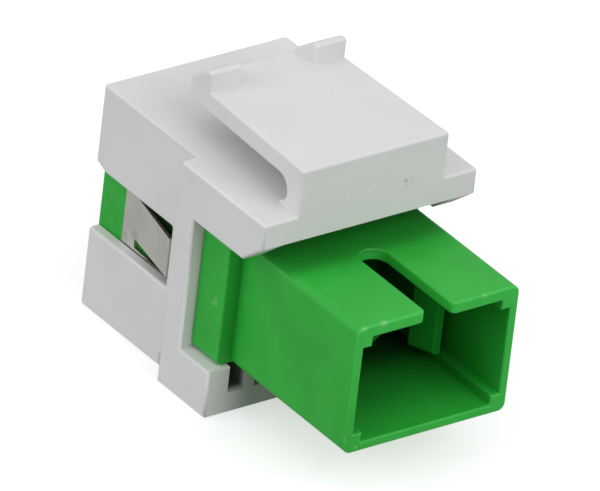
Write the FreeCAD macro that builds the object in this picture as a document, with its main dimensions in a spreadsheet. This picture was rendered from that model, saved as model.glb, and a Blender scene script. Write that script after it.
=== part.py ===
import FreeCAD, Part
import os

import Sketcher

# A fibre adapter that joins two SC plugs nose to nose, held in a snap-in keystone housing.
# X runs across the mouth, Y along the plugs with the front mouth at -Y, and Z is up.
# The origin lies under the middle of the adapter's flange, on the housing's flat base.

document = FreeCAD.newDocument("sc_fibre_adapter")

# Driving dimensions, in millimetres and degrees.
DRIVING_SIZES = {
    # The housing block
    "housing_height": 16.4,
    "shoulder_width": 16.9,
    "rear_width": 14.5,
    "column_depth": 1.96,
    "overhang_reach": 9.15,
    "overhang_thickness": 1.8,
    "foot_reach": 5.2,
    "foot_height": 3.4,
    "rear_length": 10.3,
    "housing_edge_round": 0.2,
    "rear_corner_round": 0.25,
    # The side lips that hang from the overhang
    "lip_bottom": 12.95,
    "lip_width": 1.75,
    "lip_slope_run": 1.92,
    # The pockets moulded into the foot, open to the front
    "post_width": 1.75,
    "foot_pocket_width": 1.4,
    "foot_rib_width": 0.7,
    "foot_floor": 1.45,
    "foot_pocket_depth": 2.9,
    # The windows in the rear block's sides, open to the rear
    "side_window_bottom": 5.78,
    "side_window_top": 10.3,
    "side_window_inset": 1.7,
    "side_window_round": 0.12,
    "window_lead_in": 1.1,
    "window_lead_in_rise": 0.4,
    # The hollows cored into the rear block from behind
    "core_wall": 1.2,
    "core_shelf": 1.0,
    "core_rib": 1.0,
    "core_depth": 7.5,
    # The groove for the panel's lower edge
    "panel_groove_width": 1.45,
    "panel_groove_depth": 0.9,
    # The latch over the housing
    "latch_width": 11.6,
    "latch_tip_width": 10.6,
    "latch_thickness": 1.4,
    "latch_gap": 1.94,
    "latch_reach": 13.08,
    "latch_web": 1.6,
    "latch_web_round": 0.9,
    "latch_hinge_inset": 1.25,
    "latch_hinge_gap": 0.05,
    "latch_travel_deg": 9.0,
    "latch_relief_deg": 1.0,
    "lug_width": 2.45,
    "lug_height": 1.4,
    "lug_crest": 0.5,
    "lug_tail_height": 0.2,
    "lug_length": 2.2,
    "latch_edge_round": 0.12,
    # The green adapter body, two shells that meet at the middle of the flange
    "axis_height": 7.85,
    "shell_length": 13.85,
    "shell_width": 12.8,
    "chamber_width": 11.6,
    "chamber_height": 7.8,
    "floor_wall": 0.65,
    "roof_wall": 0.85,
    "shell_corner_round": 0.55,
    "flange_width": 15.14,
    "flange_thickness": 2.9,
    "flange_height": 9.0,
    "flange_corner_round": 0.5,
    "flange_edge_round": 0.15,
    "mouth_edge_round": 0.15,
    "rail_width": 0.67,
    "rail_height": 0.7,
    "keyway_width": 2.1,
    "keyway_length": 8.0,
    "keyway_corner_round": 0.45,
    # How the adapter sits in the housing
    "seat_gap": 0.02,
    "tunnel_gap": 0.1,
    "flange_rest_gap": 0.05,
    # The steel clip over the rear shell
    "clip_thickness": 0.25,
    "clip_recess": 0.2,
    "clip_gap": 0.02,
    "clip_end_gap": 0.1,
    "clip_front": 3.0,
    "clip_rear": 11.15,
    "clip_side_bottom": 4.9,
    "wing_bottom": 6.5,
    "wing_top": 9.7,
    "wing_root": 9.8,
    "wing_tip_gap": 0.04,
    "wing_spread_deg": 9.8,
    "wing_top_fall": 0.4,
    "wing_bottom_fall": 0.2,
    "wing_slot": 0.45,
    "wing_slot_fall": 0.25,
    "wing_slot_round": 0.2,
    # The hook inserts that hold the plugs and the sleeve
    "insert_plate": 1.5,
    "insert_gap": 0.05,
    "hook_thickness": 0.62,
    "hook_outer_half": 5.2,
    "hook_rail_gap": 0.05,
    "hook_tip": 8.1,
    "barb_depth": 0.75,
    "barb_length": 1.6,
    "barb_round": 0.35,
    "holder_radius": 2.3,
    "holder_lip": 0.65,
    "holder_lip_hole": 1.45,
    # The split ceramic sleeve
    "sleeve_bore": 2.5,
    "sleeve_wall": 0.35,
    "sleeve_length": 11.4,
    "sleeve_slit": 0.4,
    "sleeve_gap": 0.03,
    "sleeve_end_gap": 0.05,
}

# How far a cut runs on past the face that it opens, so that it leaves no skin there.
OVERRUN = "1"

# Places that follow from the driving dimensions.
SEAT_Y = "(sizes.flange_thickness / 2 + sizes.seat_gap)"
SHOULDER_REAR = f"({SEAT_Y} + sizes.column_depth)"
HOUSING_REAR = f"({SHOULDER_REAR} + sizes.rear_length)"
HOUSING_FRONT = f"({SHOULDER_REAR} - sizes.overhang_reach)"
FOOT_FRONT = f"({SHOULDER_REAR} - sizes.foot_reach)"
OVERHANG_BOTTOM = "(sizes.housing_height - sizes.overhang_thickness)"
SIDE_WINDOW_FRONT = f"({SHOULDER_REAR} + sizes.side_window_inset)"

CHAMBER_BOTTOM = "(sizes.axis_height - sizes.chamber_height / 2)"
CHAMBER_TOP = "(sizes.axis_height + sizes.chamber_height / 2)"
LOW_RAIL = f"({CHAMBER_BOTTOM} + sizes.rail_height)"
HIGH_RAIL = f"({CHAMBER_TOP} - sizes.rail_height)"
SHELL_BOTTOM = f"({CHAMBER_BOTTOM} - sizes.floor_wall)"
SHELL_TOP = f"({CHAMBER_TOP} + sizes.roof_wall)"
FLANGE_BOTTOM = "(sizes.foot_height + sizes.flange_rest_gap)"

TUNNEL_HALF = "(sizes.shell_width / 2 + sizes.tunnel_gap)"
TUNNEL_BOTTOM = f"({SHELL_BOTTOM} - sizes.tunnel_gap)"
TUNNEL_TOP = f"({SHELL_TOP} + sizes.tunnel_gap)"

LATCH_BOTTOM = "(sizes.housing_height + sizes.latch_gap)"
LATCH_TOP = f"({LATCH_BOTTOM} + sizes.latch_thickness)"
LATCH_REAR = f"({HOUSING_FRONT} + sizes.latch_reach)"
HINGE_Y = f"({HOUSING_FRONT} + sizes.latch_hinge_inset)"
HINGE_Z = f"({LATCH_BOTTOM} + sizes.latch_thickness / 2)"
KNUCKLE_RADIUS = "(sizes.latch_thickness / 2)"
HINGE_SEAT_RADIUS = f"({KNUCKLE_RADIUS} + sizes.latch_hinge_gap)"

# For each axis: the body's origin plane square to it, and whether that plane faces along it.
PLANES = {
    "X": ("YZ_Plane", True),
    "Y": ("XZ_Plane", False),
    "Z": ("XY_Plane", True),
}


def cell_address(index):
    """The spreadsheet cell in column A that holds the size with this index."""
    return f"A{index + 1}"


def fill_sheet():
    """Put each driving dimension in a cell of its own, with its name as the alias."""
    sheet = document.addObject("Spreadsheet::Sheet", "sizes")
    for index, (name, value) in enumerate(DRIVING_SIZES.items()):
        sheet.set(cell_address(index), str(value))
        sheet.setAlias(cell_address(index), name)
    document.recompute()
    return sheet


sizes = fill_sheet()


def value(expression):
    """The number that an expression on the sheet gives."""
    return float(sizes.evalExpression(expression))


def new_body(label):
    """An empty body for one sub-part."""
    body = document.addObject("PartDesign::Body", label)
    body.Label = label
    return body


def new_sketch(body, name, axis, span):
    """An empty sketch square to an axis, at the end of the span from which material runs."""
    role, faces_along = PLANES[axis]
    plane = next(part for part in body.Origin.OriginFeatures if part.Role == role)
    sketch = body.newObject("Sketcher::SketchObject", f"{body.Label}_{name}_sketch")
    sketch.AttachmentSupport = [(plane, "")]
    sketch.MapMode = "FlatFace"
    start, end = span
    sketch.setExpression("AttachmentOffset.Base.z", start if faces_along else f"-({end})")
    return sketch


def pin_point(sketch, geometry, point, place):
    """Hold a point of the sketch at a place given by two expressions."""
    for kind, expression in zip(("DistanceX", "DistanceY"), place):
        index = sketch.addConstraint(Sketcher.Constraint(kind, -1, 1, geometry, point, value(expression)))
        sketch.setExpression(f"Constraints[{index}]", expression)


def draw_outline(sketch, corners):
    """A closed outline of straight sides whose corners are pinned by expressions."""
    points = [FreeCAD.Vector(value(across), value(up), 0) for across, up in corners]
    count = len(points)
    for index in range(count):
        sketch.addGeometry(Part.LineSegment(points[index], points[(index + 1) % count]), False)
    for index in range(count):
        sketch.addConstraint(Sketcher.Constraint("Coincident", index, 2, (index + 1) % count, 1))
        pin_point(sketch, index, 1, corners[index])


def draw_circle(sketch, centre, radius):
    """A circle whose centre and radius are bound to expressions."""
    middle = FreeCAD.Vector(value(centre[0]), value(centre[1]), 0)
    circle = sketch.addGeometry(Part.Circle(middle, FreeCAD.Vector(0, 0, 1), value(radius)), False)
    pin_point(sketch, circle, 3, centre)
    index = sketch.addConstraint(Sketcher.Constraint("Radius", circle, value(radius)))
    sketch.setExpression(f"Constraints[{index}]", radius)


def run_along(body, kind, name, sketch, span):
    """A pad or a pocket of a sketch, over a span of the axis that the sketch is square to."""
    start, end = span
    feature = body.newObject(f"PartDesign::{kind}", f"{body.Label}_{name}")
    feature.Profile = (sketch, [""])
    feature.setExpression("Length", f"({end}) - ({start})")
    feature.Reversed = kind == "Pocket"
    return feature


def prism(body, kind, name, axis, span, corners):
    """A pad or a pocket whose section is an outline."""
    sketch = new_sketch(body, name, axis, span)
    draw_outline(sketch, corners)
    return run_along(body, kind, name, sketch, span)


def round_bar(body, kind, name, axis, span, centre, radius):
    """A pad or a pocket whose section is a circle."""
    sketch = new_sketch(body, name, axis, span)
    draw_circle(sketch, centre, radius)
    return run_along(body, kind, name, sketch, span)


def block(body, kind, name, across, along, upward):
    """A pad or a pocket of a block, given its spans in X, Y and Z."""
    (left, right), (bottom, top) = across, upward
    corners = [(left, bottom), (right, bottom), (right, top), (left, top)]
    return prism(body, kind, name, "Y", along, corners)


def middle_span(half):
    """The span from minus a half size to plus it."""
    return f"-({half})", half


def side_span(side, inner, outer):
    """The span between two distances from the middle, on the left (-1) or the right (1)."""
    return (inner, outer) if side > 0 else (f"-({outer})", f"-({inner})")


SIDES = ((-1, "left"), (1, "right"))


def round_edges(body, name, radius, wanted):
    """Round the edges of the body so far that a test on an edge picks out."""
    document.recompute()
    base = body.Tip
    edges = [f"Edge{index + 1}" for index, edge in enumerate(base.Shape.Edges) if wanted(edge)]
    fillet = body.newObject("PartDesign::Fillet", f"{body.Label}_{name}")
    fillet.Base = (base, edges)
    fillet.setExpression("Radius", radius)
    document.recompute()
    return fillet


def runs_along(edge, direction):
    """Whether an edge is straight and runs along X, Y or Z."""
    if not isinstance(edge.Curve, Part.Line):
        return False
    return abs(abs(getattr(edge.tangentAt(edge.FirstParameter), direction)) - 1) < 1e-6


def near(number, target):
    """Whether two lengths agree closely enough to be the same place."""
    return abs(number - target) < 1e-4


def build_housing():
    """The white keystone housing, moulded in one piece with the web that carries the latch."""
    body = new_body("keystone_housing")
    add_housing_mass(body)
    cut_adapter_seat(body)
    cut_foot_pockets(body)
    cut_side_windows(body)
    cut_rear_block(body)
    add_latch_web(body)
    round_housing(body)
    return body


def add_housing_mass(body):
    """The shoulder seen from the side, with its foot, column and overhang, then the rear block."""
    lip_front = f"{HOUSING_FRONT} + sizes.lip_slope_run"
    side_view = [
        (SHOULDER_REAR, "0"),
        (FOOT_FRONT, "0"),
        (FOOT_FRONT, "sizes.foot_height"),
        (SEAT_Y, "sizes.foot_height"),
        (SEAT_Y, "sizes.lip_bottom"),
        (lip_front, "sizes.lip_bottom"),
        (HOUSING_FRONT, OVERHANG_BOTTOM),
        (HOUSING_FRONT, "sizes.housing_height"),
        (SHOULDER_REAR, "sizes.housing_height"),
    ]
    prism(body, "Pad", "shoulder", "X", middle_span("sizes.shoulder_width / 2"), side_view)
    block(body, "Pad", "rear_block", middle_span("sizes.rear_width / 2"),
          (SHOULDER_REAR, HOUSING_REAR), ("0", "sizes.housing_height"))


def cut_adapter_seat(body):
    """The tunnel that the adapter slides into, and the hollow under the overhang."""
    block(body, "Pocket", "tunnel", middle_span(TUNNEL_HALF),
          (f"{FOOT_FRONT} - {OVERRUN}", f"{HOUSING_REAR} + {OVERRUN}"), (TUNNEL_BOTTOM, TUNNEL_TOP))
    block(body, "Pocket", "overhang_hollow", middle_span("sizes.shoulder_width / 2 - sizes.lip_width"),
          (f"{HOUSING_FRONT} - {OVERRUN}", SEAT_Y), (TUNNEL_TOP, OVERHANG_BOTTOM))


def cut_foot_pockets(body):
    """Three pockets in the foot, between two side posts and two ribs."""
    pocket_outer = "sizes.shoulder_width / 2 - sizes.post_width"
    pocket_inner = f"{pocket_outer} - sizes.foot_pocket_width"
    middle_half = f"{pocket_inner} - sizes.foot_rib_width"
    along = (f"{FOOT_FRONT} - {OVERRUN}", f"{FOOT_FRONT} + sizes.foot_pocket_depth")
    upward = ("sizes.foot_floor", f"sizes.foot_height + {OVERRUN}")
    block(body, "Pocket", "foot_middle_pocket", middle_span(middle_half), along, upward)
    for side, name in SIDES:
        across = side_span(side, pocket_inner, pocket_outer)
        block(body, "Pocket", f"foot_{name}_pocket", across, along, upward)


def cut_side_windows(body):
    """The windows that the clip's wings spring out into, with a lead-in at the rear of their top."""
    beyond = f"{HOUSING_REAR} + {OVERRUN}"
    lead_in_top = "sizes.side_window_top + sizes.window_lead_in_rise"
    prism(body, "Pocket", "side_windows", "X", middle_span(f"sizes.rear_width / 2 + {OVERRUN}"), [
        (SIDE_WINDOW_FRONT, "sizes.side_window_bottom"),
        (beyond, "sizes.side_window_bottom"),
        (beyond, lead_in_top),
        (HOUSING_REAR, lead_in_top),
        (f"{HOUSING_REAR} - sizes.window_lead_in", "sizes.side_window_top"),
        (SIDE_WINDOW_FRONT, "sizes.side_window_top"),
    ])
    round_edges(body, "side_window_corners", "sizes.side_window_round", is_window_corner)


def is_window_corner(edge):
    """A corner at the front end of a side window."""
    middle = edge.CenterOfMass
    return runs_along(edge, "x") and near(middle.y, value(SIDE_WINDOW_FRONT))


def cut_rear_block(body):
    """The hollows cored into the rear block, and the groove for the panel."""
    beyond = f"{HOUSING_REAR} + {OVERRUN}"
    levels = {
        "upper": (f"{TUNNEL_TOP} + sizes.core_shelf", "sizes.housing_height - sizes.core_wall"),
        "lower": ("sizes.core_wall", f"{TUNNEL_BOTTOM} - sizes.core_shelf"),
    }
    for level, upward in levels.items():
        for side, name in SIDES:
            across = side_span(side, "sizes.core_rib / 2", "sizes.rear_width / 2 - sizes.core_wall")
            block(body, "Pocket", f"{level}_{name}_core", across,
                  (f"{HOUSING_REAR} - sizes.core_depth", beyond), upward)
    block(body, "Pocket", "panel_groove", middle_span(f"sizes.rear_width / 2 + {OVERRUN}"),
          (SHOULDER_REAR, f"{SHOULDER_REAR} + sizes.panel_groove_width"),
          (f"-{OVERRUN}", "sizes.panel_groove_depth"))


def add_latch_web(body):
    """The upright web at the front, hollowed at its top into the seat that the latch turns in."""
    web_rear = f"({HOUSING_FRONT} + sizes.latch_web)"
    across = middle_span("sizes.latch_width / 2")
    block(body, "Pad", "latch_web", across, (HOUSING_FRONT, web_rear), ("sizes.housing_height", LATCH_TOP))
    round_edges(body, "latch_web_foot", "sizes.latch_web_round", is_web_foot)
    wide = middle_span(f"sizes.latch_width / 2 + {OVERRUN}")
    round_bar(body, "Pocket", "latch_seat", "X", wide, (HINGE_Y, HINGE_Z), HINGE_SEAT_RADIUS)
    slope = "(sizes.latch_travel_deg + sizes.latch_relief_deg)"
    relief_top = f"({HINGE_Z} - {HINGE_SEAT_RADIUS} / cos({slope} * 1 deg))"
    relief_rear = f"({web_rear} + {OVERRUN})"
    prism(body, "Pocket", "latch_relief", "X", wide, [
        (HINGE_Y, f"{LATCH_TOP} + {OVERRUN}"),
        (HINGE_Y, relief_top),
        (relief_rear, f"{relief_top} - ({relief_rear} - {HINGE_Y}) * tan({slope} * 1 deg)"),
        (relief_rear, f"{LATCH_TOP} + {OVERRUN}"),
    ])


def is_web_foot(edge):
    """The inner corner between the web's rear face and the housing's top."""
    middle = edge.CenterOfMass
    web_rear = value(f"{HOUSING_FRONT} + sizes.latch_web")
    return (runs_along(edge, "x") and near(middle.y, web_rear)
            and near(middle.z, value("sizes.housing_height")))


def round_housing(body):
    """Soften the outer corners, as on a moulding: the rear corners more than the rest."""
    round_edges(body, "rear_corners", "sizes.rear_corner_round", is_rear_corner)
    round_edges(body, "outer_edges", "sizes.housing_edge_round", is_outer_edge)


def is_rear_corner(edge):
    """An upright corner at the rear end of the block."""
    middle = edge.CenterOfMass
    return (runs_along(edge, "z") and near(abs(middle.x), value("sizes.rear_width / 2"))
            and near(middle.y, value(HOUSING_REAR)))


def is_outer_edge(edge):
    """An edge of the outer sides, the top or the base, unless it lies in an inner corner."""
    box = edge.BoundBox
    outer_half = max(abs(box.XMin), abs(box.XMax))
    flat_in_x = near(box.XMin, box.XMax)
    on_shoulder = flat_in_x and near(outer_half, value("sizes.shoulder_width / 2"))
    on_rear_block = flat_in_x and near(outer_half, value("sizes.rear_width / 2"))
    flat_in_z = near(box.ZMin, box.ZMax)
    on_top = flat_in_z and near(box.ZMin, value("sizes.housing_height"))
    at_shoulder_rear = near(box.YMin, value(SHOULDER_REAR)) and near(box.YMax, value(SHOULDER_REAR))
    inner_corner = at_shoulder_rear and outer_half < value("sizes.rear_width / 2") + 1e-4
    beside_web = on_top and outer_half < value("sizes.latch_width / 2") + 1e-4
    return (on_shoulder or on_rear_block or on_top) and not inner_corner and not beside_web


def build_latch():
    """The latch arm with its two lugs, hinged at the front where the real one bends."""
    body = new_body("latch_arm")
    root_half = "sizes.latch_width / 2"
    tip_half = "sizes.latch_tip_width / 2"
    prism(body, "Pad", "plate", "Z", (LATCH_BOTTOM, LATCH_TOP), [
        (f"-{root_half}", HINGE_Y),
        (root_half, HINGE_Y),
        (tip_half, LATCH_REAR),
        (f"-{tip_half}", LATCH_REAR),
    ])
    round_bar(body, "Pad", "knuckle", "X", middle_span(root_half), (HINGE_Y, HINGE_Z), KNUCKLE_RADIUS)
    lug_front = f"({LATCH_REAR} - sizes.lug_length)"
    lug_side_view = [
        (lug_front, f"{LATCH_TOP} - sizes.latch_thickness / 2"),
        (LATCH_REAR, f"{LATCH_TOP} - sizes.latch_thickness / 2"),
        (LATCH_REAR, f"{LATCH_TOP} + sizes.lug_tail_height"),
        (f"{lug_front} + sizes.lug_crest", f"{LATCH_TOP} + sizes.lug_height"),
        (lug_front, f"{LATCH_TOP} + sizes.lug_height"),
    ]
    for side, name in SIDES:
        span = side_span(side, f"{tip_half} - sizes.lug_width", tip_half)
        prism(body, "Pad", f"{name}_lug", "X", span, lug_side_view)
    round_edges(body, "lug_tops", "sizes.latch_edge_round", is_lug_top)
    return body


def is_lug_top(edge):
    """An edge around the sloping top of a lug."""
    return edge.CenterOfMass.z > value(f"{LATCH_TOP} + sizes.lug_tail_height") - 1e-4


def build_shell(label, is_rear):
    """One half of the green body, drawn as the front half and turned round for the rear."""
    body = new_body(label)
    mouth = "-sizes.shell_length"
    block(body, "Pad", "sleeve_box", middle_span("sizes.shell_width / 2"),
          (mouth, "0"), (SHELL_BOTTOM, SHELL_TOP))
    round_edges(body, "long_corners", "sizes.shell_corner_round", is_long_corner)
    flange_top = f"{FLANGE_BOTTOM} + sizes.flange_height"
    block(body, "Pad", "flange", middle_span("sizes.flange_width / 2"),
          ("-sizes.flange_thickness / 2", "0"), (FLANGE_BOTTOM, flange_top))
    round_edges(body, "flange_corners", "sizes.flange_corner_round", is_flange_corner)
    cut_chamber(body, mouth)
    cut_keyway(body, mouth)
    round_edges(body, "flange_edges", "sizes.flange_edge_round", is_flange_front_edge)
    round_edges(body, "mouth_edges", "sizes.mouth_edge_round", is_mouth_edge)
    if is_rear:
        cut_clip_recess(body)
        body.Placement = FreeCAD.Placement(FreeCAD.Vector(), FreeCAD.Rotation(FreeCAD.Vector(0, 0, 1), 180))
    return body


def is_long_corner(edge):
    """An outer corner that runs the length of the shell."""
    return runs_along(edge, "y")


def is_flange_corner(edge):
    """An outer corner of the flange."""
    return runs_along(edge, "y") and near(abs(edge.CenterOfMass.x), value("sizes.flange_width / 2"))


def is_flange_front_edge(edge):
    """An edge round the flange's front face, outside the box."""
    box = edge.BoundBox
    flange_front = value("-sizes.flange_thickness / 2")
    in_front_face = near(box.YMin, flange_front) and near(box.YMax, flange_front)
    reach = max(abs(box.XMin), abs(box.XMax))
    return in_front_face and reach > value("sizes.shell_width / 2") + 0.2


def is_mouth_edge(edge):
    """An edge of the mouth's front face."""
    box = edge.BoundBox
    mouth = -value("sizes.shell_length")
    return near(box.YMin, mouth) and near(box.YMax, mouth)


def cut_chamber(body, mouth):
    """The plug's chamber, with a rail left in each corner, and a seat for the hook insert."""
    half = "(sizes.chamber_width / 2)"
    inner_half = f"({half} - sizes.rail_width)"
    section = [
        (f"-{inner_half}", CHAMBER_BOTTOM),
        (inner_half, CHAMBER_BOTTOM),
        (inner_half, LOW_RAIL),
        (half, LOW_RAIL),
        (half, HIGH_RAIL),
        (inner_half, HIGH_RAIL),
        (inner_half, CHAMBER_TOP),
        (f"-{inner_half}", CHAMBER_TOP),
        (f"-{inner_half}", HIGH_RAIL),
        (f"-{half}", HIGH_RAIL),
        (f"-{half}", LOW_RAIL),
        (f"-{inner_half}", LOW_RAIL),
    ]
    prism(body, "Pocket", "chamber", "Y", (f"{mouth} - {OVERRUN}", "0"), section)
    across = middle_span(half)
    upward = (CHAMBER_BOTTOM, CHAMBER_TOP)
    block(body, "Pocket", "insert_seat", across, ("-sizes.insert_plate", "0"), upward)


def cut_keyway(body, mouth):
    """The slot in the roof for the plug's key, with a round end."""
    half = "(sizes.keyway_width / 2)"
    round_centre = f"({mouth} + sizes.keyway_length - {half})"
    upward = (f"{CHAMBER_TOP} - {OVERRUN}", f"{SHELL_TOP} + {OVERRUN}")
    block(body, "Pocket", "keyway", middle_span(half), (f"{mouth} - {OVERRUN}", round_centre), upward)
    round_bar(body, "Pocket", "keyway_end", "Z", upward, ("0", round_centre), half)
    round_edges(body, "keyway_corners", "sizes.keyway_corner_round", is_keyway_corner)


def is_keyway_corner(edge):
    """An upright corner where the keyway meets the mouth."""
    middle = edge.CenterOfMass
    return (runs_along(edge, "z") and near(abs(middle.x), value("sizes.keyway_width / 2"))
            and near(middle.y, -value("sizes.shell_length")))


def cut_clip_recess(body):
    """The shallow step round the rear shell that the clip lies in."""
    inner_half = "(sizes.shell_width / 2 - sizes.clip_recess)"
    along = ("-sizes.clip_rear - sizes.clip_end_gap", "-sizes.clip_front + sizes.clip_end_gap")
    top_of_step = f"({SHELL_TOP} - sizes.clip_recess)"
    outer_half = f"(sizes.shell_width / 2 + {OVERRUN})"
    for side, name in SIDES:
        block(body, "Pocket", f"clip_{name}_recess", side_span(side, inner_half, outer_half), along,
              ("sizes.clip_side_bottom - sizes.clip_end_gap", f"{SHELL_TOP} + {OVERRUN}"))
    block(body, "Pocket", "clip_top_recess", middle_span(outer_half), along,
          (top_of_step, f"{SHELL_TOP} + {OVERRUN}"))


def build_insert(label, is_rear):
    """A hook insert: a plate, two sprung hooks and the holder for half of the sleeve."""
    body = new_body(label)
    half = "(sizes.chamber_width / 2 - sizes.insert_gap)"
    upward = (f"{CHAMBER_BOTTOM} + sizes.insert_gap", f"{CHAMBER_TOP} - sizes.insert_gap")
    plate_front = "(-sizes.insert_plate + sizes.insert_gap)"
    block(body, "Pad", "plate", middle_span(half), (plate_front, "0"), upward)
    centre = ("0", "sizes.axis_height")
    sleeve_end = "(sizes.sleeve_length / 2 + sizes.sleeve_end_gap)"
    holder_end = f"({sleeve_end} + sizes.holder_lip)"
    round_bar(body, "Pad", "holder", "Y", (f"-{holder_end}", plate_front), centre, "sizes.holder_radius")
    for side, name in SIDES:
        add_hook(body, side, name, plate_front)
    round_edges(body, "barb_edges", "sizes.barb_round", is_lower_barb_edge)
    sleeve_outer = "(sizes.sleeve_bore / 2 + sizes.sleeve_wall)"
    round_bar(body, "Pocket", "sleeve_seat", "Y", (f"-{sleeve_end}", OVERRUN), centre,
              f"{sleeve_outer} + sizes.sleeve_gap")
    round_bar(body, "Pocket", "ferrule_hole", "Y",
              (f"-{holder_end} - {OVERRUN}", f"-{sleeve_end} + {OVERRUN}"), centre, "sizes.holder_lip_hole")
    if is_rear:
        body.Placement = FreeCAD.Placement(FreeCAD.Vector(), FreeCAD.Rotation(FreeCAD.Vector(0, 0, 1), 180))
    return body


def add_hook(body, side, name, root):
    """One flat hook along the side of the chamber, with a barb at its tip that faces inwards."""
    sign = "-" if side < 0 else ""
    outer = f"{sign}sizes.hook_outer_half"
    inner = f"{sign}(sizes.hook_outer_half - sizes.hook_thickness)"
    barb = f"{sign}(sizes.hook_outer_half - sizes.hook_thickness - sizes.barb_depth)"
    catch = "(-sizes.hook_tip + sizes.barb_length)"
    plan = [
        (outer, root),
        (outer, "-sizes.hook_tip"),
        (inner, "-sizes.hook_tip"),
        (barb, catch),
        (inner, catch),
        (inner, root),
    ]
    upward = (f"{LOW_RAIL} + sizes.hook_rail_gap", f"{HIGH_RAIL} - sizes.hook_rail_gap")
    prism(body, "Pad", f"{name}_hook", "Z", upward, plan)


def is_lower_barb_edge(edge):
    """The slanted edge along the bottom of a hook's barb."""
    middle = edge.CenterOfMass
    low = value(f"{LOW_RAIL} + sizes.hook_rail_gap")
    along = value("-sizes.hook_tip + sizes.barb_length / 2")
    across = value("sizes.hook_outer_half - sizes.hook_thickness - sizes.barb_depth / 2")
    return near(middle.z, low) and near(middle.y, along) and near(abs(middle.x), across)


def build_sleeve():
    """The split ceramic sleeve that lines up the two ferrules."""
    body = new_body("split_sleeve")
    along = middle_span("sizes.sleeve_length / 2")
    centre = ("0", "sizes.axis_height")
    outer = "(sizes.sleeve_bore / 2 + sizes.sleeve_wall)"
    round_bar(body, "Pad", "tube", "Y", along, centre, outer)
    beyond = middle_span(f"(sizes.sleeve_length / 2 + {OVERRUN})")
    round_bar(body, "Pocket", "bore", "Y", beyond, centre, "sizes.sleeve_bore / 2")
    block(body, "Pocket", "slit", middle_span("sizes.sleeve_slit / 2"), beyond,
          ("sizes.axis_height", f"sizes.axis_height + {outer} + {OVERRUN}"))
    return body


def build_clip():
    """The stamped steel clip that straddles the rear shell, with a wing sprung out each side."""
    body = new_body("mounting_clip")
    inner_half = "(sizes.shell_width / 2 - sizes.clip_recess + sizes.clip_gap)"
    outer_half = f"({inner_half} + sizes.clip_thickness)"
    inner_top = f"({SHELL_TOP} - sizes.clip_recess + sizes.clip_gap)"
    outer_top = f"({inner_top} + sizes.clip_thickness)"
    end_view = [
        (f"-{outer_half}", "sizes.clip_side_bottom"),
        (f"-{inner_half}", "sizes.clip_side_bottom"),
        (f"-{inner_half}", inner_top),
        (inner_half, inner_top),
        (inner_half, "sizes.clip_side_bottom"),
        (outer_half, "sizes.clip_side_bottom"),
        (outer_half, outer_top),
        (f"-{outer_half}", outer_top),
    ]
    prism(body, "Pad", "strap", "Y", ("sizes.clip_front", "sizes.clip_rear"), end_view)
    wing_tip = f"({SIDE_WINDOW_FRONT} + sizes.wing_tip_gap)"
    slot_front = f"({wing_tip} - sizes.wing_slot)"
    prism(body, "Pocket", "wing_windows", "X", middle_span(f"{outer_half} + {OVERRUN}"), [
        (slot_front, "sizes.wing_bottom - sizes.wing_slot - sizes.wing_slot_fall"),
        ("sizes.wing_root", "sizes.wing_bottom - sizes.wing_slot"),
        ("sizes.wing_root", "sizes.wing_top + sizes.wing_slot"),
        (slot_front, "sizes.wing_top + sizes.wing_slot"),
    ])
    for side, name in SIDES:
        sign = "-" if side < 0 else ""
        spread = f"(sizes.wing_root - {wing_tip}) * tan(sizes.wing_spread_deg * 1 deg)"
        plan = [
            (f"{sign}{inner_half}", "sizes.wing_root + sizes.clip_thickness"),
            (f"{sign}{outer_half}", "sizes.wing_root + sizes.clip_thickness"),
            (f"{sign}{outer_half}", "sizes.wing_root"),
            (f"{sign}({outer_half} + {spread})", wing_tip),
            (f"{sign}({inner_half} + {spread})", wing_tip),
            (f"{sign}{inner_half}", "sizes.wing_root"),
        ]
        prism(body, "Pad", f"{name}_wing", "Z", ("sizes.wing_bottom", "sizes.wing_top"), plan)
    trim_wings(body, wing_tip, f"{outer_half} + {OVERRUN}")
    round_edges(body, "wing_slot_ends", "sizes.wing_slot_round", is_wing_slot_end)
    return body


def is_wing_slot_end(edge):
    """The two corners where the slot below each wing ends at the wing's root."""
    middle = edge.CenterOfMass
    low = value("sizes.wing_bottom - sizes.wing_slot")
    high = value("sizes.wing_bottom + sizes.wing_bottom_fall")
    at_root = runs_along(edge, "x") and near(middle.y, value("sizes.wing_root"))
    return at_root and (near(middle.z, low) or near(middle.z, high))


def trim_wings(body, wing_tip, half):
    """Both long edges of each wing fall a little from its root to its tip."""
    tip = f"({wing_tip} - sizes.wing_slot / 2)"
    above = "(sizes.wing_top + sizes.wing_slot / 2)"
    below = "(sizes.wing_bottom - sizes.wing_slot / 2)"
    top_at_tip = "sizes.wing_top - sizes.wing_top_fall"
    bottom_at_root = "sizes.wing_bottom + sizes.wing_bottom_fall"
    prism(body, "Pocket", "wing_top_trim", "X", middle_span(half), [
        (tip, top_at_tip),
        ("sizes.wing_root", "sizes.wing_top"),
        ("sizes.wing_root", above),
        (tip, above),
    ])
    prism(body, "Pocket", "wing_bottom_trim", "X", middle_span(half), [
        (tip, below),
        ("sizes.wing_root", below),
        ("sizes.wing_root", bottom_at_root),
        (tip, "sizes.wing_bottom"),
    ])


def check_features():
    """Stop if anything failed to build, or if a cut took nothing away."""
    for thing in document.Objects:
        if "Invalid" in thing.State or "Error" in thing.State:
            raise RuntimeError(f"{thing.Name} did not build: {thing.State}")
        if thing.TypeId == "PartDesign::Pocket":
            removed = thing.BaseFeature.Shape.Volume - thing.Shape.Volume
            if removed <= 0:
                raise RuntimeError(f"{thing.Name} cuts nothing")


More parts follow.
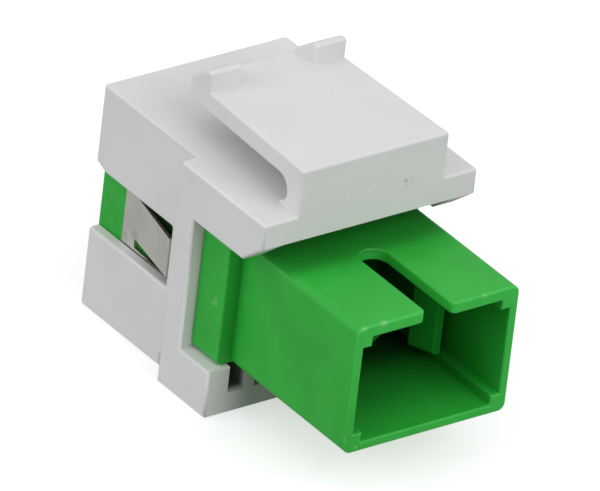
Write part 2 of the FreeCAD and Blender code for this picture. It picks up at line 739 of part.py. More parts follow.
def write_part(body):
    """Check one sub-part and write it to its own file."""
    shape = body.Shape
    if shape.isNull() or not shape.isValid():
        raise RuntimeError(f"{body.Label} is not a sound shape")
    if len(shape.Solids) != 1:
        raise RuntimeError(f"{body.Label} has {len(shape.Solids)} solids")
    shape.exportStep(os.path.join("parts", f"{body.Label}.step"))
    print(f"{body.Label}: {shape.Volume:.2f} cubic millimetres")


sub_parts = [
    build_housing(),
    build_latch(),
    build_shell("front_shell", is_rear=False),
    build_shell("rear_shell", is_rear=True),
    build_clip(),
    build_insert("front_hook_insert", is_rear=False),
    build_insert("rear_hook_insert", is_rear=True),
    build_sleeve(),
]
document.recompute()
check_features()
os.makedirs("parts", exist_ok=True)
for sub_part in sub_parts:
    write_part(sub_part)
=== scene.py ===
# %% [markdown]
# # A green fibre adapter in a white keystone housing
#
# The object is a coupler for two square fibre plugs. A green box joins them nose to nose, and a white
# snap-in block holds the box in a wall plate. The measured solids already exist, so this lesson doesn't
# model from nothing. It opens them, gives each one the finish of its own plastic or metal, and rebuilds
# only what the solids can't show: the white block and its spring latch, which are one unbroken moulding
# on the real part.

import math

import bmesh
import bpy
from mathutils import Matrix, Vector


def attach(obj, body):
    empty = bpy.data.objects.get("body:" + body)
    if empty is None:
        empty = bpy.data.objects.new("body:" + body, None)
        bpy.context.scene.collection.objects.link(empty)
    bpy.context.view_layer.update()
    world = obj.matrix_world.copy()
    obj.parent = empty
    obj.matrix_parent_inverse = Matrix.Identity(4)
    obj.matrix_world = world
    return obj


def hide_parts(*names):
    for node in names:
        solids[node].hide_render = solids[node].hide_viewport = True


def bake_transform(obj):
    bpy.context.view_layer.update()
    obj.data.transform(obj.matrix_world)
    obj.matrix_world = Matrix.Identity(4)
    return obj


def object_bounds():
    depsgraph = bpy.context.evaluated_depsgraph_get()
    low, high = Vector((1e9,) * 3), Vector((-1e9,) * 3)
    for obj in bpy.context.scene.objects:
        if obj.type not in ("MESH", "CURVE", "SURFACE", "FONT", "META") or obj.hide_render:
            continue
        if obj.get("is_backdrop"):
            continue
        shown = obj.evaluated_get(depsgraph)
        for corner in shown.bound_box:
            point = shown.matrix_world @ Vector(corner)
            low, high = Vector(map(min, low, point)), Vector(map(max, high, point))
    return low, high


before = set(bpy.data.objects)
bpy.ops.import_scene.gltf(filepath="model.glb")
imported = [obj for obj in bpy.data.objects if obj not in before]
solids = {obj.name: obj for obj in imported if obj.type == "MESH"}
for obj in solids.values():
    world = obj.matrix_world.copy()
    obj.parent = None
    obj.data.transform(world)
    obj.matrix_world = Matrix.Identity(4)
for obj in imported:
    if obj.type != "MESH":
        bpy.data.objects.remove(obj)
solids_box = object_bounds()
print("solids:", ", ".join(sorted(solids)))

# %% [markdown]
# ## Lengths in millimetres
#
# Blender works in metres here, and the whole part is under 30 mm long. Every size below is written in
# millimetres, because that is how a mould maker would give it, and turned into metres in one place.
# The finishes need to know where a few of the measured faces stand, so those are named here too.

# %% Millimetres to metres
MM = 0.001


def at(x, y, z):
    """A point given in millimetres, as a vector in metres."""
    return Vector((x, y, z)) * MM


FRONT = -5.72             # the front of the housing
SHOULDER_SIDE = -8.45     # the left side of its shoulder
FOOT_FRONT = -1.77        # the front of the foot below the green box
MOUTH = 13.85             # both mouths, to the front and to the rear
PLUG_HEIGHT = 7.85        # the line that both plugs share
SHELL_SIDE = 6.4          # the green box, from its middle to a side
SHELL_TOP = 12.5          # the top of the green box
FLANGE_FACE = 1.45        # the flange, from its middle to a face

part_length = (solids_box[1].y - solids_box[0].y) / MM
print(f"the part is {part_length:.1f} mm long")

# %% [markdown]
# ## Shader sums written as sums
#
# A procedural finish is mostly arithmetic: a mask times a colour, one minus a mask, a bit of noise added
# to a roughness. Wiring that by hand takes a node for every plus sign. The class below wraps the output
# of a node, so that `0.4 + 0.1 * grain` builds the Math nodes by itself and the recipe stays readable.
# Colours and vectors can't go through Math, which would turn them grey, so they have methods of their own.

# %% A wire that can be added and multiplied


class Wire:
    """The output of a node. Arithmetic on it adds the Math nodes that do the same sum."""

    def __init__(self, tree, socket):
        self.tree = tree
        self.socket = socket

    def node(self, kind, settings=None, inputs=None, output=0):
        """Add a node of any type: first its settings, then the value or the wire for each input."""
        made = self.tree.nodes.new(kind)
        for name, setting in (settings or {}).items():
            setattr(made, name, setting)
        for name, given in (inputs or {}).items():
            feed(self.tree, given, made.inputs[name])
        return Wire(self.tree, made.outputs[output])

    def math(self, operation, *terms, clamp=False):
        """A Math node on some wires or numbers."""
        return self.node("ShaderNodeMath", {"operation": operation, "use_clamp": clamp},
                         dict(enumerate(terms)))

    def __add__(self, other):
        return self.math("ADD", self, other)

    def __sub__(self, other):
        return self.math("SUBTRACT", self, other)

    def __mul__(self, other):
        return self.math("MULTIPLY", self, other)

    def __truediv__(self, other):
        return self.math("DIVIDE", self, other)

    def __radd__(self, other):
        return self.math("ADD", other, self)

    def __rsub__(self, other):
        return self.math("SUBTRACT", other, self)

    def __rmul__(self, other):
        return self.math("MULTIPLY", other, self)

    def size(self):
        """The same value without its sign."""
        return self.math("ABSOLUTE", self)

    def limited(self):
        """The same value, kept between 0 and 1."""
        return self.math("ADD", self, 0.0, clamp=True)

    def step(self, low, high):
        """A smooth step from 0, at or below low, to 1, at or above high."""
        return self.node("ShaderNodeMapRange", {"interpolation_type": "SMOOTHSTEP"},
                         {"Value": self, "From Min": low, "From Max": high})

    def tint(self, plain, changed):
        """The plain colour where this mask is 0 and the changed one where it is 1."""
        return self.node("ShaderNodeMix", {"data_type": "RGBA"}, {0: self, 6: plain, 7: changed}, output=2)

    def vector(self, operation, other, output=0):
        """A Vector Math node on this wire and another vector."""
        return self.node("ShaderNodeVectorMath", {"operation": operation}, {0: self, 1: other}, output)


def feed(tree, given, socket):
    """Put a value in a socket, or link a wire to it."""
    if isinstance(given, Wire):
        tree.links.new(given.socket, socket)
    else:
        socket.default_value = given


print("a wire knows", len([name for name in vars(Wire) if name.startswith("__")]), "special methods")

# %% [markdown]
# ## A finish to start from
#
# Every finish below starts the same way: a new material, its own shader node, and one wire that says
# where on the object we are. That wire carries object coordinates in metres, so a grain of 0.1 mm stays
# 0.1 mm on every piece and runs on unbroken from one piece to the next. Numbers that are the same all
# over, such as how shiny a plastic is, are set straight on the shader.

# %% Start a finish and sow a grain


class Finish:
    """A material in the making: its node tree, its shader and the place on the object."""

    def __init__(self, name, **constants):
        self.material = bpy.data.materials.new(name)
        self.material.use_nodes = True
        tree = self.material.node_tree
        self.shader = tree.nodes["Principled BSDF"]
        self.place = Wire(tree, tree.nodes.new("ShaderNodeTexCoord").outputs["Object"])
        for socket, number in constants.items():
            self.shader.inputs[socket.replace("_", " ")].default_value = number

    def wear(self, **given):
        """Feed the shader's sockets with what changes over the surface."""
        for socket, wire in given.items():
            feed(self.material.node_tree, wire, self.shader.inputs[socket.replace("_", " ")])
        print("finish", self.material.name, "has", len(self.material.node_tree.nodes), "nodes")
        return self.material


def axes(vector):
    """The X, Y and Z of a vector, each as a wire of its own."""
    return [vector.node("ShaderNodeSeparateXYZ", inputs={0: vector}, output=axis) for axis in "XYZ"]


def millimetres(place):
    """The three coordinates of a place in millimetres."""
    return [axis / MM for axis in axes(place)]


def grain(place, size, detail=2.0, stretch=(1.0, 1.0, 1.0)):
    """Soft noise from 0 to 1 whose lumps are about this many millimetres across."""
    stretched = place.vector("MULTIPLY", stretch)
    return place.node("ShaderNodeTexNoise", {"normalize": True},
                      {"Vector": stretched, "Scale": 1 / (size * MM), "Detail": detail}, output="Fac")


def edge_mask(place, radius):
    """A mask that is 0 on flat faces and rises to 1 along corners, within a radius in millimetres."""
    bent = place.node("ShaderNodeBevel", {"samples": 6}, {"Radius": radius * MM})
    flat = place.node("ShaderNodeNewGeometry", output="Normal")
    return (1 - bent.vector("DOT_PRODUCT", flat, output="Value")).step(0.004, 0.12)


def blot(place, centre, radius, ragged):
    """A ragged spot round a point: 1 in its middle and 0 outside."""
    far = place.vector("DISTANCE", at(*centre), output="Value")
    return 1 - (far / (radius * MM) + ragged).step(0.35, 1.2)


print("a grain of 0.1 mm has scale", round(1 / (0.1 * MM)))

# %% [markdown]
# ## White moulded plastic
#
# The housing is a satin, slightly warm white. Up close such a moulding is never one flat colour: the
# melt leaves faint clouds a few millimetres across, the mould's spark-worn skin leaves a very fine
# orange peel, and corners are paler, partly rubbed and mostly with a painted highlight on their
# rounding. Clouds go to the colour, the peel goes to a bump and to the roughness. A few pinhead specks
# and scuffs stand for the dust and the knocks that such parts pick up, and two pale spots on the web's
# front are painted glints.
#
# The foot is darkened by hand, in its pockets and on the front that the green box stands over. In the
# photograph that is mostly shade. The lights below are simpler than a photographer's and don't make it,
# so the colour stands in for it. That works in this light and would look like a stain in another.

# %% Mix the white plastic
POCKET_SIDE = 6.73
POCKET_FLOOR = 1.43
POCKET_TOP = 3.38
POCKET_REAR = 1.2
SHARP = (0.0, 0.02)


def foot_pockets(place):
    """A mask for the walls of the pockets in the foot. It stands for shade, and grows with the depth."""
    x, y, z = millimetres(place)
    across = (POCKET_SIDE - x.size()).step(*SHARP)
    upright = (z - POCKET_FLOOR).step(*SHARP) * (POCKET_TOP - z).step(*SHARP)
    return across * upright * (y - FOOT_FRONT).step(0.0, 0.8) * (POCKET_REAR - y).step(*SHARP)


def foot_front(place):
    """A mask for the foot's front. It stands for shade, and grows below the middle of the green box."""
    x, y, z = millimetres(place)
    on_face = (1 - (y - FOOT_FRONT).size().step(0.02, 0.08)) * (1 - z.step(3.2, 3.4))
    return on_face * (1 - (x.size() - 4.4).step(0.0, 3.9))


def white_plastic():
    """The satin white of the housing."""
    finish = Finish("white moulded plastic", IOR=1.46, Specular_IOR_Level=0.42)
    place = finish.place
    clouds = grain(place, 5.0, 3.0)
    flow = grain(place, 1.6, 4.0, stretch=(1.0, 0.25, 1.0))
    peel = grain(place, 0.11, 2.0)
    corners = edge_mask(place, 0.14)
    ragged = 0.5 * grain(place, 0.12) - 0.25
    specks = (blot(place, (SHOULDER_SIDE, 2.2, 15.7), 0.08, ragged)
              + blot(place, (SHOULDER_SIDE, 3.3, 3.0), 0.07, ragged))
    specks = specks + blot(place, (2.65, FRONT, 16.95), 0.19, ragged)
    worn = 2 * ragged
    scuffs = blot(place, (2.70, FRONT, 16.55), 0.28, worn) + blot(place, (3.1, FRONT, 17.0), 0.25, worn)
    # Two pale spots on the web's front are painted glints: painted highlights in the colour.
    painted_glints = blot(place, (-0.3, FRONT, 16.9), 0.24, worn) + blot(place, (-2.0, FRONT, 16.8), 0.20, worn)
    colour = clouds.step(0.3, 0.7).tint((0.675, 0.685, 0.680, 1), (0.705, 0.710, 0.705, 1))
    colour = (0.35 * flow.step(0.45, 0.75)).tint(colour, (0.72, 0.72, 0.72, 1))
    # The corners are paler: partly rubbed, mostly a painted highlight on their rounding.
    colour = (0.55 * corners).tint(colour, (0.76, 0.76, 0.75, 1))
    colour = (0.90 * foot_pockets(place)).tint(colour, (0.05, 0.075, 0.045, 1))
    colour = (0.80 * foot_front(place)).tint(colour, (0.16, 0.22, 0.15, 1))
    colour = (0.25 * scuffs).limited().tint(colour, (0.50, 0.50, 0.46, 1))
    colour = (0.6 * painted_glints).limited().tint(colour, (0.80, 0.82, 0.80, 1))
    colour = (0.6 * specks).limited().tint(colour, (0.42, 0.40, 0.36, 1))
    height = peel + 0.6 * grain(place, 0.4)
    skin = place.node("ShaderNodeBump", inputs={"Strength": 0.06, "Distance": 0.01 * MM, "Height": height})
    return finish.wear(Base_Color=colour, Roughness=0.42 + 0.14 * peel + 0.05 * clouds, Normal=skin)


white = white_plastic()

# %% [markdown]
# ## Green moulded plastic
#
# Green marks a connector whose fibre end is ground at a slant. The plastic is a strong, even green with
# a smoother skin than the white. Its thin rim has been knocked: where stiff plastic is dented, it goes
# pale, so a few ragged whitish nicks sit on the mouth, at the places where a plug would catch. The spot
# on the flange's side where the melt came in is painted as a small dent: painted shade in its middle and
# a painted highlight below it.
#
# Shade is drawn by hand here as well: in the depth of the chambers, in the creases beside the flange, on
# the top below the white overhang, and in the step that the clip covers.

# %% Mix the green plastic
GATE = (-7.57, -0.27, 7.95)
CHAMBER_SIDE = 5.95
CHAMBER_HALF_HEIGHT = 4.0
STEP_SIDE = 6.2


def chamber_depths(place):
    """Two masks for the plug's chamber, 0 outside it: one grows behind the mouth and one deep inside."""
    x, y, z = millimetres(place)
    inside = (CHAMBER_SIDE - x.size()).step(0.0, 0.1)
    inside = inside * (CHAMBER_HALF_HEIGHT - (z - PLUG_HEIGHT).size()).step(0.0, 0.1)
    depth = MOUTH - y.size()
    return inside * depth.step(0.4, 6.5), inside * depth.step(5.8, 9.0)


def under_clip(place):
    """A mask for the shallow step in the rear shell's sides, which lies in shade under the clip.

    It is weaker where the slot below the clip's wing lets light reach the plastic.
    """
    x, y, z = millimetres(place)
    in_step = 1 - (x.size() - STEP_SIDE).size().step(0.02, 0.06)
    at_slot = y.step(7.6, 8.8) * (1 - z.step(6.45, 6.8))
    return in_step * y.step(4.0, 5.6) * (1 - 0.6 * at_slot) * (1 - z.step(12.2, 12.4))


def crease(x, y):
    """A mask for the flange's front and rear faces: it grows towards the corner with the shell."""
    on_face = 1 - (y.size() - FLANGE_FACE).size().step(0.02, 0.06)
    beside = (x.size() - (SHELL_SIDE - 0.05)).step(0.0, 0.1)
    return on_face * beside * (0.55 - 0.25 * (x.size() - SHELL_SIDE).step(0.0, 1.0))


def green_plastic(name, low, high, gloom, shine, nicked):
    """The green finish, between two colours. Gloom says how strong the shade in the chambers is."""
    finish = Finish(name, IOR=1.49, Specular_IOR_Level=shine)
    place = finish.place
    clouds = grain(place, 3.5, 3.0)
    flow = grain(place, 0.9, 3.0, stretch=(1.0, 0.2, 1.0))
    peel = grain(place, 0.09, 2.0)
    x, y, z = millimetres(place)
    corners = edge_mask(place, 0.25) * y.size().step(0.3, 0.6)
    # The rims round both mouths are painted lighter, more so towards the top: a painted highlight on their
    # front faces.
    mouth = y.size().step(13.6, 13.8) * (0.12 + 0.28 * z.step(4.0, SHELL_TOP))
    colour = clouds.step(0.3, 0.7).tint(low, high)
    colour = mouth.tint(colour, (0.050, 0.62, 0.085, 1))
    colour = (0.25 * flow.step(0.5, 0.8)).tint(colour, (0.018, 0.50, 0.060, 1))
    # The corners are painted lighter: a painted highlight along their rounding.
    colour = (0.5 * corners).tint(colour, (0.020, 0.56, 0.060, 1))
    colour = crease(x, y).tint(colour, (0.006, 0.16, 0.012, 1))
    # Painted shade on the green top, just below the white overhang.
    overhang_shade = z.step(12.3, 12.45) * (1 - (y.size() - 5.6).step(0.0, 1.5))
    colour = (0.5 * overhang_shade).tint(colour, (0.006, 0.14, 0.010, 1))
    rubbed = corners * y.size().step(13.4, 13.7) * grain(place, 0.5).step(0.25, 0.6)
    colour = (0.4 * rubbed).tint(colour, (0.17, 0.62, 0.20, 1))
    first_depth, last_depth = chamber_depths(place)
    colour = (gloom * first_depth).tint(colour, (0.006, 0.15, 0.012, 1))
    colour = (gloom * last_depth).tint(colour, (0.002, 0.016, 0.002, 1))
    colour = (0.9 * under_clip(place)).tint(colour, (0.012, 0.035, 0.010, 1))
    if nicked:
        ragged = 1.3 * grain(place, 0.16, 4.0) - 0.65
        nicks = blot(place, (-4.38, -13.8, 12.55), 0.30, ragged)
        for centre, radius in (((-5.9, -13.8, 12.5), 0.22), ((3.6, -13.8, 12.55), 0.18),
                               ((-6.42, -13.7, 4.4), 0.13), ((-5.52, -13.85, 3.68), 0.13)):
            nicks = nicks + blot(place, centre, radius, ragged)
        colour = (0.32 * nicks).limited().tint(colour, (0.38, 0.68, 0.38, 1))
        # The gate is painted as a shallow dent: a painted highlight below it, and painted shade in its
        # middle.
        dent_highlight = blot(place, (GATE[0], GATE[1] - 0.20, GATE[2] - 0.10), 0.40, 0.2 * ragged)
        colour = (0.32 * dent_highlight).tint(colour, (0.25, 0.60, 0.25, 1))
        from_gate = place.vector("DISTANCE", at(*GATE), output="Value") / MM
        colour = (0.6 * (1 - from_gate.step(0.08, 0.22))).tint(colour, (0.008, 0.16, 0.014, 1))
    skin = place.node("ShaderNodeBump", inputs={"Strength": 0.05, "Distance": 0.01 * MM,
                                                "Height": peel + 0.5 * grain(place, 0.35)})
    return finish.wear(Base_Color=colour, Roughness=0.36 + 0.12 * peel + 0.06 * clouds, Normal=skin)


green = green_plastic("green moulded plastic", (0.020, 0.385, 0.034, 1), (0.026, 0.430, 0.042, 1),
                      gloom=0.8, shine=0.4, nicked=True)
dark_green = green_plastic("green insert plastic", (0.012, 0.30, 0.024, 1), (0.016, 0.35, 0.030, 1),
                           gloom=0.45, shine=0.2, nicked=False)

# %% [markdown]
# ## Rolled spring steel
#
# The clip is stamped from a thin strip. Rolling leaves fine streaks along the strip, which runs round
# the box and up over it, and handling leaves dull clouds. A metal shows mostly what it reflects, so the
# streaks go to the roughness and the bump more than to the colour. The sheared edges are brown and dark,
# and below the wing they take a painted green reflection of the shell. The lower rim, along the window's
# sill, is painted shade in dark brown, and two dark patches beside the slot below the wing are painted
# reflections. The edges are broader here than in the photograph, and part of their darkness is painted
# shade.

# %% Roll the steel


def sheared_edge(place):
    """A mask for the clip's sheared edges on both sides, which face up or down."""
    facing = axes(place.node("ShaderNodeNewGeometry", output="True Normal"))
    return facing[2].size().step(0.5, 0.8) * millimetres(place)[0].size().step(6.0, 6.1)


def rolled_steel():
    """The streaky strip that the clip is stamped from."""
    finish = Finish("rolled spring steel")
    place = finish.place
    clouds = grain(place, 2.2, 3.0)
    streaks = grain(place, 0.30, 5.0, stretch=(1.0, 5.0, 0.12))
    pits = grain(place, 0.07, 1.0)
    cut = edge_mask(place, 0.05)
    ragged = 0.8 * grain(place, 0.35) - 0.4
    # Two dark patches beside the slot below the wing: painted reflections of dark surroundings on the bent
    # steel.
    dark_reflections = blot(place, (-6.49, 9.75, 6.95), 0.45, ragged) + blot(place, (-6.49, 10.9, 6.3), 0.55, ragged)
    x, y, z = millimetres(place)
    sheared = sheared_edge(place)
    # Painted shade: a dark brown band along the clip's lower rim, where it meets the window's sill.
    rim = (1 - (z - 0.2 * (1 - y.step(7.0, 9.2))).step(5.84, 5.93)) * x.size().step(6.0, 6.1)
    # Below the wing the sheared edges take a painted green reflection of the shell instead of brown.
    low = (1 - z.step(6.2, 6.35)) * y.step(7.2, 8.4)
    colour = clouds.step(0.3, 0.72).tint((0.75, 0.755, 0.71, 1), (0.83, 0.835, 0.79, 1))
    colour = (0.35 * streaks.step(0.35, 0.7)).tint(colour, (0.60, 0.60, 0.55, 1))
    colour = (0.35 * dark_reflections).limited().tint(colour, (0.42, 0.42, 0.40, 1))
    colour = (0.4 * cut).tint(colour, (0.40, 0.38, 0.33, 1))
    colour = (0.85 * rim).tint(colour, (0.12, 0.08, 0.045, 1))
    colour = (0.9 * sheared).tint(colour, low.tint((0.12, 0.08, 0.045, 1), (0.03, 0.15, 0.025, 1)))
    skin = place.node("ShaderNodeBump", inputs={"Strength": 0.12, "Distance": 0.01 * MM,
                                                "Height": streaks + 0.4 * pits})
    roughness = 0.34 + 0.16 * streaks + 0.10 * clouds + 0.2 * sheared + 0.2 * rim
    return finish.wear(Base_Color=colour, Metallic=0.92 + 0.08 * clouds, Roughness=roughness, Normal=skin)


steel = rolled_steel()

# %% [markdown]
# ## Polished ceramic
#
# The split sleeve is zirconia, ground and polished so that the fibre tips meet within a hair. It is the
# glossiest piece, a milky white with the faintest warm clouding and rings left by the grinding.

# %% Fire the ceramic


def polished_ceramic():
    """The milky, ground ceramic of the sleeve."""
    finish = Finish("polished ceramic", IOR=2.1, Specular_IOR_Level=0.5)
    place = finish.place
    clouds = grain(place, 0.8, 2.0)
    rings = grain(place, 0.2, 2.0, stretch=(0.1, 6.0, 0.1))
    colour = clouds.step(0.3, 0.7).tint((0.80, 0.79, 0.75, 1), (0.86, 0.85, 0.82, 1))
    skin = place.node("ShaderNodeBump", inputs={"Strength": 0.04, "Distance": 0.005 * MM, "Height": rings})
    return finish.wear(Base_Color=colour, Roughness=0.10 + 0.10 * rings, Normal=skin)


ceramic = polished_ceramic()

# %% [markdown]
# ## Dress the solids that stay
#
# The shells, inserts, sleeve and clip already have the right shape, so they keep their meshes and only
# change their material. A solid from the measured model must never be moved or edited.

# %% Hand out the finishes
DRESS = {
    "front_shell": green,
    "rear_shell": green,
    "front_hook_insert": dark_green,
    "rear_hook_insert": dark_green,
    "mounting_clip": steel,
    "split_sleeve": ceramic,
}


def dress(piece, material):
    """Give a piece one finish all over."""
    piece.data.materials.clear()
    piece.data.materials.append(material)
    for face in piece.data.polygons:
        face.material_index = 0


for name, material in DRESS.items():
    dress(solids[name], material)
print("dressed", len(DRESS), "solids")

# %% [markdown]
# ## The keystone block without its web
#
# On the real part the block, the upright web and the latch arm are one moulding. In the measured solids
# the arm is a piece of its own with a hinge line, so that it can move. We copy the housing, slice off
# the web level with the block's top and close the cut. A new latch is then welded on in its place.

# %% Slice the web off a copy of the housing
BLOCK_TOP = 16.4
WEB = 1.6
ARM_BOTTOM = 18.34
ARM_TOP = 19.74
ARM_REAR = 7.36


def cut_block():
    """The housing's mesh, cut level at the block's top and closed again."""
    work = bmesh.new()
    work.from_mesh(solids["keystone_housing"].data)
    bmesh.ops.remove_doubles(work, verts=work.verts, dist=0.0005 * MM)
    everything = work.verts[:] + work.edges[:] + work.faces[:]
    bmesh.ops.bisect_plane(work, geom=everything, plane_co=at(0, 0, BLOCK_TOP), plane_no=(0, 0, 1),
                           dist=0.001 * MM, clear_outer=True)
    rim = [edge for edge in work.edges if edge.is_boundary]
    closed = bmesh.ops.edgenet_fill(work, edges=rim)
    bmesh.ops.triangulate(work, faces=closed["faces"])
    bmesh.ops.recalc_face_normals(work, faces=work.faces)
    print("the cut left", len(rim), "rim edges and", sum(e.is_boundary for e in work.edges), "stay open")
    return work


# %% [markdown]
# ## The spring latch, drawn from the side
#
# The latch is a strip of plastic that goes up as a web, turns a corner and runs back as an arm. The slot
# below it ends in a full half circle, which spreads the strain when a thumb presses the arm. Two lugs
# at the free end hook behind the wall plate. Each of these is a side view pushed out sideways. The web
# reaches a bit down into the block, and the lugs into the arm, so that the weld has something to bite.
# The lugs stay a hair inside the arm's sides and end, because faces that almost share a plane weld badly.

# %% Push side views out sideways
SLOT_RADIUS = (ARM_BOTTOM - BLOCK_TOP) / 2
SUNK = 0.5
ROOT_HALF = 5.8
TIP_HALF = 5.3
LUG_WIDTH = 2.45
LUG_FRONT = 5.16
LUG_CREST = 0.5
LUG_TOP = ARM_TOP + 1.4
LUG_TAIL = ARM_TOP + 0.2
HAIR = 0.003


def half_width(y):
    """How far the latch reaches to each side: it narrows a little towards its free end."""
    share = (y - FRONT) / (ARM_REAR - FRONT)
    return ROOT_HALF + (TIP_HALF - ROOT_HALF) * share


def push_out(side_view, left, right):
    """A closed prism. The side view gives Y and Z, and left and right give X for each Y."""
    work = bmesh.new()
    near = [work.verts.new(at(left(y), y, z)) for y, z in side_view]
    far = [work.verts.new(at(right(y), y, z)) for y, z in side_view]
    for index, corner in enumerate(near):
        before = index - 1
        work.faces.new([near[before], corner, far[index], far[before]])
    work.faces.new(near)
    work.faces.new(far)
    bmesh.ops.recalc_face_normals(work, faces=work.faces)
    return work


def slot_end(steps=16):
    """The half circle at the front of the slot, from the arm's underside down to the block."""
    turns = [math.pi / 2 + math.pi * step / steps for step in range(steps + 1)]
    return [(FRONT + WEB + SLOT_RADIUS + SLOT_RADIUS * math.cos(turn),
             BLOCK_TOP + SLOT_RADIUS + SLOT_RADIUS * math.sin(turn)) for turn in turns]


def soften(work, radius, above):
    """Round the corners over a given height, apart from the shallow ones in the slot's curve."""
    def is_corner(edge):
        return min(v.co.z for v in edge.verts) > above * MM and edge.calc_face_angle(0.0) > math.radians(25)

    corners = [edge for edge in work.edges if is_corner(edge)]
    bmesh.ops.bevel(work, geom=corners, offset=radius * MM, offset_type="OFFSET", segments=5,
                    profile=0.5, affect="EDGES", clamp_overlap=True)
    print("rounded", len(corners), "corners by", radius, "mm")
    return work


web_front = [(FRONT, BLOCK_TOP + rise) for rise in (-SUNK, 0.1, 0.5, 0.9, 1.4, 1.9, 2.5)]
web_foot = [(slot_end()[-1][0], BLOCK_TOP - SUNK)]
arm = [(FRONT, ARM_TOP), (ARM_REAR, ARM_TOP), (ARM_REAR, ARM_BOTTOM)]
strip_view = web_front + arm + slot_end() + web_foot
lug_view = [
    (LUG_FRONT, ARM_TOP - SUNK),
    (LUG_FRONT, LUG_TOP),
    (LUG_FRONT + LUG_CREST, LUG_TOP),
    (ARM_REAR - HAIR, LUG_TAIL),
    (ARM_REAR - HAIR, ARM_TOP - SUNK),
]
strip = soften(push_out(strip_view, lambda y: -half_width(y), half_width), 0.2, BLOCK_TOP - 1.1 * SUNK)
left_lug = soften(push_out(lug_view, lambda y: HAIR - half_width(y), lambda y: LUG_WIDTH - half_width(y)),
                  0.2, ARM_TOP - 1.1 * SUNK)
right_lug = soften(push_out(lug_view, lambda y: half_width(y) - LUG_WIDTH, lambda y: half_width(y) - HAIR),
                   0.2, ARM_TOP - 1.1 * SUNK)

# %% [markdown]
# ## Weld the moulding
#
# A Boolean union joins the four bodies into one closed skin. Faces that lie in one plane, such as the
# front of the block and the front of the web, run on into each other without a seam.

# %% Join the four bodies


def new_piece(name, mesh, material):
    """Put a finished mesh into the scene as a piece."""
    piece = bpy.data.objects.new(name, mesh)
    bpy.context.scene.collection.objects.link(piece)
    dress(piece, material)
    return piece


def body_of(name, work):
    """A body to be welded, as an object."""
    mesh = bpy.data.meshes.new(name)
    work.to_mesh(mesh)
    work.free()
    body = bpy.data.objects.new(name, mesh)
    bpy.context.scene.collection.objects.link(body)
    return body


def weld(name, bodies):
    """One mesh from several bodies, which then leave the scene."""
    for other in bodies[1:]:
        union = bodies[0].modifiers.new(other.name, "BOOLEAN")
        union.operation = "UNION"
        union.solver = "EXACT"
        union.object = other
    whole = bpy.data.meshes.new_from_object(bodies[0].evaluated_get(bpy.context.evaluated_depsgraph_get()))
    whole.name = name
    for body in bodies:
        bpy.data.objects.remove(body)
    return whole


moulding_mesh = weld("keystone_moulding", [
    body_of("block", cut_block()),
    body_of("strip", strip),
    body_of("left_lug", left_lug),
    body_of("right_lug", right_lug),
])
skin = bmesh.new()
skin.from_mesh(moulding_mesh)
loose = sum(not edge.is_manifold for edge in skin.edges)
print(f"the moulding holds {skin.calc_volume() / MM ** 3:.0f} cubic mm;", loose, "edges aren't closed")
skin.free()

# %% [markdown]
# On the real part the block stays put and the arm turns, so the web bends. Here the welded moulding goes
# into the scene in the white finish as one rigid piece, and the housing and latch arm it replaces are
# hidden.

# %% Put the moulding in the scene
moulding = new_piece("keystone_moulding", moulding_mesh, white)
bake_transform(moulding)
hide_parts("keystone_housing", "latch_arm")

# %% [markdown]
# ## The gate mark
#
# Where the melt entered the mould, a small ring is left on the flange's side. It stands only a few
# hundredths of a millimetre proud, but it catches the light in a close picture.

# %% Raise the gate mark
RING = 0.25
BEAD = 0.05
PROUD = 0.035
TALL = 1.2
AROUND, ACROSS = 28, 8


def gate_mark():
    """A tiny ring on the left side of the flange."""
    work = bmesh.new()
    loops = []
    for turn in range(AROUND):
        angle = 2 * math.pi * turn / AROUND
        ring = []
        for bead in range(ACROSS):
            swing = 2 * math.pi * bead / ACROSS
            reach = RING + BEAD * math.cos(swing)
            lift = PROUD * math.sin(swing)
            ring.append(work.verts.new(at(GATE[0] - lift, GATE[1] + reach * math.cos(angle),
                                          GATE[2] + TALL * reach * math.sin(angle))))
        loops.append(ring)
    for turn, ring in enumerate(loops):
        following = loops[(turn + 1) % AROUND]
        for bead in range(ACROSS):
            after = (bead + 1) % ACROSS
            work.faces.new([ring[bead], ring[after], following[after], following[bead]])
    bmesh.ops.recalc_face_normals(work, faces=work.faces)
    mesh = bpy.data.meshes.new("gate_mark")
    work.to_mesh(mesh)
    work.free()
    for face in mesh.polygons:
        face.use_smooth = True
    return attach(new_piece("gate_mark", mesh, green), "housing")


mark = gate_mark()
print("the gate mark has", len(mark.data.polygons), "faces")

# %% [markdown]
# ## Floor, light and camera
#
# The photograph was taken in a light tent: light comes from all sides and a little more from above, and
# the shadows are faint. A pale sky that fades downwards gives the even part, and two softboxes add the
# rest, one at the left and one in front of the mouth. The floor is only a backdrop: it throws no light
# back at the object and isn't reflected in it. The camera is a metre away with a very long lens, so
# parallel edges stay almost parallel.

# %% Lay the floor
FLOOR_DROP = -0.02


def floor():
    """A pale round table top, a touch below the object's base so that the two never share a plane."""
    work = bmesh.new()
    bmesh.ops.create_circle(work, cap_ends=True, segments=96, radius=0.6)
    mesh = bpy.data.meshes.new("table_top")
    work.to_mesh(mesh)
    work.free()
    table = bpy.data.objects.new("table_top", mesh)
    bpy.context.scene.collection.objects.link(table)
    table.location = at(0, 0, FLOOR_DROP)
    finish = Finish("pale table top", Specular_IOR_Level=0.1, Emission_Strength=0.55)
    finish.shader.inputs["Emission Color"].default_value = (1, 1, 1, 1)
    mottle = grain(finish.place, 30.0, 2.0)
    colour = mottle.tint((0.58, 0.58, 0.58, 1), (0.60, 0.60, 0.60, 1))
    dress(table, finish.wear(Base_Color=colour, Roughness=0.8 + 0.1 * mottle))
    table.visible_diffuse = False
    table.visible_glossy = False
    table.visible_shadow = False
    table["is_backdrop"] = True
    return table


floor()

# %% Hang the lights


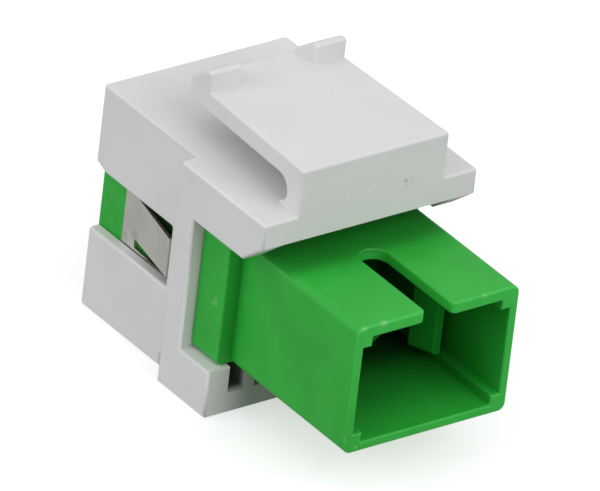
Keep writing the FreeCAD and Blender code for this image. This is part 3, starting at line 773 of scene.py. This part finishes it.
def softbox(name, place, target, size, power):
    """A square soft light that faces a target."""
    lamp = bpy.data.lights.new(name, "AREA")
    lamp.shape = "SQUARE"
    lamp.size = size
    lamp.energy = power
    light = bpy.data.objects.new(name, lamp)
    bpy.context.scene.collection.objects.link(light)
    light.location = place
    light.rotation_euler = (Vector(target) - Vector(place)).to_track_quat("-Z", "Y").to_euler()
    return light


def light_tent(above, below):
    """Light from all around that grows from one strength below to another above."""
    world = bpy.data.worlds.new("light_tent")
    bpy.context.scene.world = world
    world.use_nodes = True
    tree = world.node_tree
    sky = tree.nodes["Background"]
    sky.inputs["Color"].default_value = (1.0, 0.998, 0.995, 1)
    way = Wire(tree, tree.nodes.new("ShaderNodeTexCoord").outputs["Generated"])
    height = axes(way)[2]
    feed(tree, height.step(-0.2, 0.8) * (above - below) + below, sky.inputs["Strength"])
    print("the tent is", round(above / below, 2), "times as bright above as below")


light_tent(0.82, 0.37)
softbox("left", (-0.60, 0.15, 0.25), (0, 0, 0.01), 0.5, 1.45)
softbox("front", (0.10, -0.55, 0.38), (0, 0, 0.01), 0.5, 1.55)

# %% Place the camera
AZIMUTH = math.radians(-39.19)
ELEVATION = math.radians(30.015)
ROLL = math.radians(6.854)
AIM = at(0.0, 0.43, 9.0)
DISTANCE = 1.0
SLIDE_RIGHT = -0.232
SLIDE_UP = 0.465
PIXELS_PER_MM = 15.565
PICTURE_WIDTH = 600

back = Vector((math.sin(AZIMUTH) * math.cos(ELEVATION), -math.cos(AZIMUTH) * math.cos(ELEVATION),
               math.sin(ELEVATION)))
level_right = Vector((math.cos(AZIMUTH), math.sin(AZIMUTH), 0))
level_up = back.cross(level_right)
right = math.cos(ROLL) * level_right + math.sin(ROLL) * level_up
up = math.cos(ROLL) * level_up - math.sin(ROLL) * level_right

lens = bpy.data.cameras.new("long_lens")
lens.sensor_width = 36
lens.lens = lens.sensor_width * PIXELS_PER_MM * DISTANCE / MM / PICTURE_WIDTH
lens.clip_start = 0.1
lens.clip_end = 20
camera = bpy.data.objects.new("camera", lens)
bpy.context.scene.collection.objects.link(camera)
stand = AIM + SLIDE_RIGHT * MM * right + SLIDE_UP * MM * up + DISTANCE * back
camera.matrix_world = Matrix.Translation(stand) @ Matrix((right, up, back)).transposed().to_4x4()
bpy.context.scene.camera = camera
bpy.context.scene.view_settings.view_transform = "Standard"
print(f"the lens is {lens.lens:.0f} mm long")

# %% [markdown]
# ## Print the size
#
# Dressing must not change the size, so the box of the solids and the box of the finished model are
# printed side by side.

# %% Print the boxes
dressed_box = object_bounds()
for label, (low, high) in (("solids", solids_box), ("dressed", dressed_box)):
    print(label, [round(side / MM, 2) for side in high - low], "mm")
